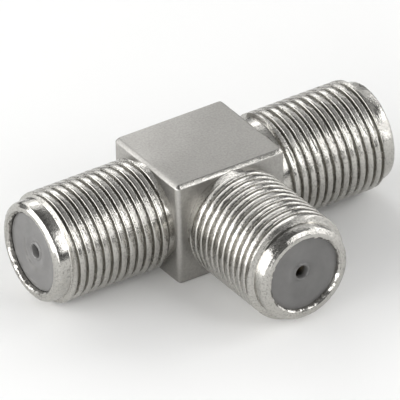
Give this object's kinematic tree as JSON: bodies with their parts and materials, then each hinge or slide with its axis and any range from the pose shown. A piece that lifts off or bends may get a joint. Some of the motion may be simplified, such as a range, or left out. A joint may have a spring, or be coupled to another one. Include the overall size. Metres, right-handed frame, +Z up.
{
  "type": "coaxial splitter",
  "caption": "Tee-shaped coaxial splitter: a plated metal block with threaded female screw-on jacks in line at both ends and one at the side, each with a plastic insulator and a spring contact.",
  "frame": {"origin": "centre of the block's bottom face, straight below the crossing of the jack axes", "axes": "+X along the through jacks, the branch jack points along -Y, +Z up from the bottom face"},
  "size_m": [0.0332, 0.0203, 0.0094],
  "materials": {
    "plated_metal": "nickel plate, satin on the block and brighter on the threads",
    "insulator_plastic": "smooth grey moulding",
    "contact_metal": "dull tinned brass"
  },
  "bodies": {
    "root": {"body": "plated_metal", "left_insulator": "insulator_plastic", "left_contact": "contact_metal", "right_insulator": "insulator_plastic", "right_contact": "contact_metal", "branch_insulator": "insulator_plastic", "branch_contact": "contact_metal", "centre_bar": "contact_metal", "branch_pin": "contact_metal"}
  },
  "joints": []
}
